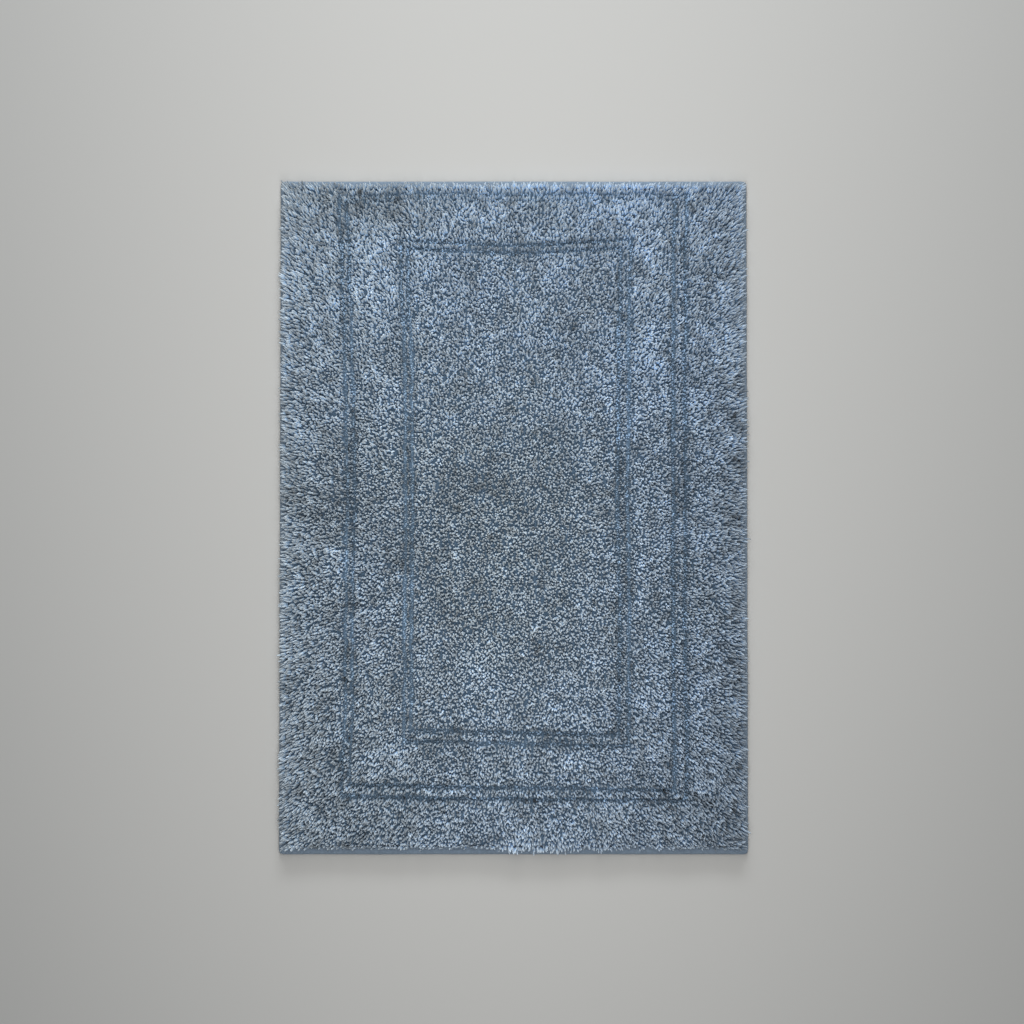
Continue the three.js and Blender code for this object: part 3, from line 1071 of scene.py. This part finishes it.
def threadMaterial(name, colour):
    # twisted thread: fine turns of painted light and shade along its twist
    material, tree, shader = newMaterial(name, 0.7, 0.1)
    turns = useGroup(tree, fibreGroup, objectVector(tree), "Size", stitch["twist"])
    dark = darker(colour, stitch["twistShade"])
    tree.links.new(mixColour(tree, turns.outputs["Mask"], dark, colour), shader.inputs["Base Color"])
    addRoughness(tree, shader, turns.outputs["Mask"], *stitch["roughness"])
    addBump(tree, shader, turns.outputs["Height"], *stitch["bump"])
    return material


def modelStitch():
    # one stitch along +Y, whose two ends dip into the cloth
    deselectAll()
    half = stitch["length"] / 2
    bpy.ops.mesh.primitive_circle_add(
        vertices=stitch["sides"],
        radius=stitch["radius"] * stitch["endWidth"],
        fill_type="NGON",
        rotation=(math.pi / 2, 0, 0),
        location=(0, -half, -stitch["dip"]),
    )
    master = bpy.context.object
    master.name = "one_stitch"
    bpy.ops.object.transform_apply(location=True, rotation=True, scale=True)
    bpy.ops.object.mode_set(mode="EDIT")
    bpy.ops.mesh.select_all(action="SELECT")
    for forward, up, grow in stitch["moves"]:
        move = (0, forward * half, up * stitch["dip"])
        bpy.ops.mesh.extrude_region_move(TRANSFORM_OT_translate={"value": move})
        bpy.ops.transform.resize(value=(grow, 1, grow))
    bpy.ops.mesh.select_all(action="SELECT")
    bpy.ops.mesh.quads_convert_to_tris()
    faceOutwards()
    return takeApart(master)


def sewSide(kind, side, z, material, master):
    points, faces = master
    upright = side in ("left", "right")
    inset = stitch[kind + "Inset"]
    halfLength, reach = (matHalfY, matHalfX) if upright else (matHalfX, matHalfY)
    run = halfLength - inset - stitch["cornerGap"]
    count = int(2 * run / stitch["pitch"])
    rng = np.random.default_rng(stitch["seed"] + sideNames.index(side) + 10 * (kind == "bobbin"))
    centres = (np.arange(count) - (count - 1) / 2) * stitch["pitch"]
    centres = centres + rng.uniform(-1, 1, count) * stitch["stray"]
    slant = rng.normal(stitch["slant"], stitch["slant"], count)
    size, amount = stitch["sway"]
    sway = patchField(centres, centres * 0, size, seeds["sway"] + sideNames.index(side)) * amount
    px, py, pz = points.T[:, None, :]
    if kind == "bobbin":
        pz = -pz
    x = px + py * slant[:, None] + sway[:, None]
    y = py + centres[:, None]
    sign = -1 if side in ("left", "bottom") else 1
    out = sign * (reach - inset) + x
    height = np.broadcast_to(z + pz, out.shape)
    place = np.stack([out, y, height] if upright else [y, out, height], axis=-1).reshape(-1, 3)
    flip = (kind == "bobbin") != (not upright)
    allFaces = repeated(faces[:, ::-1] if flip else faces, count, len(points))
    piece = buildMesh("%s_thread_%s_stitches" % (kind, side), place, allFaces)
    piece.data.materials.append(material)
    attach(piece, "root")
    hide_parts("%s_thread_%s" % (kind, side))


def sewHem():
    master = modelStitch()
    for kind in ("needle", "bobbin"):
        material = threadMaterial(kind + "_thread", stitch[kind + "Colour"])
        for side in sideNames:
            low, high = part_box("%s_thread_%s" % (kind, side))
            sewSide(kind, side, (low.z + high.z) / 2, material, master)


sewHem()
print("stitches sewn")


# the layers under the pile: woven cloth, latex that locks the knots, and the grip layer

layers = {
    "step": 10 * mm,
    "clothWeave": 1.6 * mm,
    "clothColour": (0.30, 0.35, 0.42, 1),
    "latexColour": (0.56, 0.57, 0.56, 1),
    "latexGrain": 1.5 * mm,
    "bumps": (30 * mm, 0.07 * mm),  # of the latex
    "smoothAngle": 40,
    "gripThickness": 0.9 * mm,
    "gripGrain": 1.2 * mm,
    "gripColour": (0.40, 0.44, 0.49, 1),
    "dotColour": (0.50, 0.54, 0.59, 1),
    "dotGrain": 0.8 * mm,
    "dotRadius": 2.5 * mm,
    "dotSides": 8,
    "dotFoot": 0.72,  # how wide it is at the ground
    "dotSink": 0.1 * mm,  # into the grip layer
    "dotAngle": 35,
    "dotGap": 12 * mm,
    "dotMargin": 7 * mm,
    "labelGap": 6 * mm,  # kept free of dots round the label
}


def rubberMaterial(name, colour, grain):
    # cast rubber: a fine skin, a little cloudy
    material, tree, shader = newMaterial(name, 0.6)
    place = objectVector(tree)
    skin = useGroup(tree, fibreGroup, place, "Size", grain)
    cloud = useGroup(tree, fibreGroup, place, "Size", finish["cloudSize"])
    dark = darker(colour, finish["cloudDark"])
    clouded = mixColour(tree, cloud.outputs["Mask"], dark, colour)
    fine = amountOf(tree, skin.outputs["Mask"], *finish["skin"])
    tree.links.new(shadeBy(tree, clouded, fine), shader.inputs["Base Color"])
    addRoughness(tree, shader, skin.outputs["Mask"], *finish["skinRoughness"])
    addBump(tree, shader, skin.outputs["Height"], *finish["skinBump"])
    return material


def makeLayer(node, name, material, bumpy=False, low=None):
    # one flat layer, as large as its node and as thick, unless its underside is given
    boxLow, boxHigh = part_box(node)
    bottom = boxLow.z if low is None else low
    width, length = boxHigh.x - boxLow.x, boxHigh.y - boxLow.y
    piece = addFlatGrid(name, width, length, round(width / layers["step"]), round(length / layers["step"]))
    points = pointsOf(piece.data)
    x, y = points[:, 0], points[:, 1]
    size, amount = layers["bumps"]
    points[:, 2] = (bottom + boxHigh.z) / 2 + patchField(x, y, size, seeds["latex"]) * amount * bumpy
    setPoints(piece.data, points)
    applyModifier(piece, "SOLIDIFY", thickness=boxHigh.z - bottom, offset=0)
    bpy.ops.object.shade_smooth_by_angle(angle=math.radians(layers["smoothAngle"]))
    piece.data.materials.append(material)
    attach(piece, "root")
    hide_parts(node)
    return piece, (width, length)


def gripBottom():
    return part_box("antislip_backing")[1].z - layers["gripThickness"]


def modelDot():
    # one grip dot, its foot on the ground
    deselectAll()
    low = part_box("antislip_backing")[0].z
    height = gripBottom() + layers["dotSink"] - low
    bpy.ops.mesh.primitive_circle_add(vertices=layers["dotSides"], radius=layers["dotRadius"],
                                      fill_type="NGON", location=(0, 0, low + height))
    master = bpy.context.object
    bpy.ops.object.transform_apply(location=True, rotation=False, scale=False)
    bpy.ops.object.mode_set(mode="EDIT")
    bpy.ops.mesh.select_all(action="SELECT")
    bpy.ops.mesh.extrude_region_move(TRANSFORM_OT_translate={"value": (0, 0, -height)})
    bpy.ops.transform.resize(value=(layers["dotFoot"], layers["dotFoot"], 1))
    faceOutwards()
    return takeApart(master)


def makeDots(material):
    points, faces = modelDot()
    low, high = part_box("antislip_backing")
    labelLow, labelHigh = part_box("care_label")
    gap, margin = layers["dotGap"], layers["dotMargin"]
    xs = np.arange(low.x + margin, high.x - margin, gap)
    ys = np.arange(low.y + margin, high.y - margin, gap * math.sqrt(3) / 2)
    xs = xs - (xs[0] + xs[-1]) / 2
    ys = ys - (ys[0] + ys[-1]) / 2
    x, y = (a.ravel() for a in np.meshgrid(xs, ys))
    x = x + np.repeat(np.where(np.arange(len(ys)) % 2, 0.25, -0.25) * gap, len(xs))
    keep = layers["labelGap"]
    onLabel = (x > labelLow.x - keep) & (x < labelHigh.x + keep) & (y < labelHigh.y + keep)
    x, y = x[~onLabel], y[~onLabel]
    centres = np.stack([x, y, np.zeros_like(x)], axis=1)
    place = (points[None] + centres[:, None]).reshape(-1, 3)
    piece = buildMesh("grip_dots", place, repeated(faces, len(x), len(points)))
    makeActive(piece)
    bpy.ops.object.shade_smooth_by_angle(angle=math.radians(layers["dotAngle"]))
    piece.data.materials.append(material)
    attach(piece, "root")
    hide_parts("antislip_backing")
    return len(x)


def makeLayers():
    woven = clothMaterial("backing_cloth", layers["clothColour"], layers["clothWeave"])
    cloth, size = makeLayer("backing_cloth", "backing_weave", woven)
    latex = rubberMaterial("latex", layers["latexColour"], layers["latexGrain"])
    makeLayer("latex_coat", "latex_layer", latex, bumpy=True)
    grip = rubberMaterial("grip_rubber", layers["gripColour"], layers["gripGrain"])
    makeLayer("antislip_backing", "grip_layer", grip, low=gripBottom())
    dots = makeDots(rubberMaterial("grip_dots", layers["dotColour"], layers["dotGrain"]))
    print("layers made, with", dots, "grip dots")


makeLayers()


# care label, blank, sewn in under the hem

label = {
    "thickness": 0.22 * mm,
    "faces": (24, 18),
    "smoothAngle": 40,
    "curl": (12 * mm, 0.05 * mm),
    "weave": 0.6 * mm,
    "colour": (0.74, 0.75, 0.74, 1),
    "roughness": (0.6, 0.4),
    "sheen": 0.3,
    # painted shade between the satin's threads
    "threadGapShade": 0.88,
}


def makeLabel():
    low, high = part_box("care_label")
    size = (high.x - low.x, high.y - low.y)
    piece = addFlatGrid("care_label_satin", *size, *label["faces"])
    points = pointsOf(piece.data)
    shift = (low + high) / 2
    curlSize, curl = label["curl"]
    ripple = patchField(points[:, 0], points[:, 1], curlSize, seeds["label"]) * curl
    points = points + np.array([shift.x, shift.y, shift.z])
    points[:, 2] += ripple
    setPoints(piece.data, points)
    applyModifier(piece, "SOLIDIFY", thickness=label["thickness"], offset=0)
    bpy.ops.object.shade_smooth_by_angle(angle=math.radians(label["smoothAngle"]))
    satin = clothMaterial("label_satin", label["colour"], label["weave"],
                          label["roughness"], label["sheen"], label["threadGapShade"])
    piece.data.materials.append(satin)
    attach(piece, "root")
    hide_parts("care_label")


makeLabel()
print("label made")
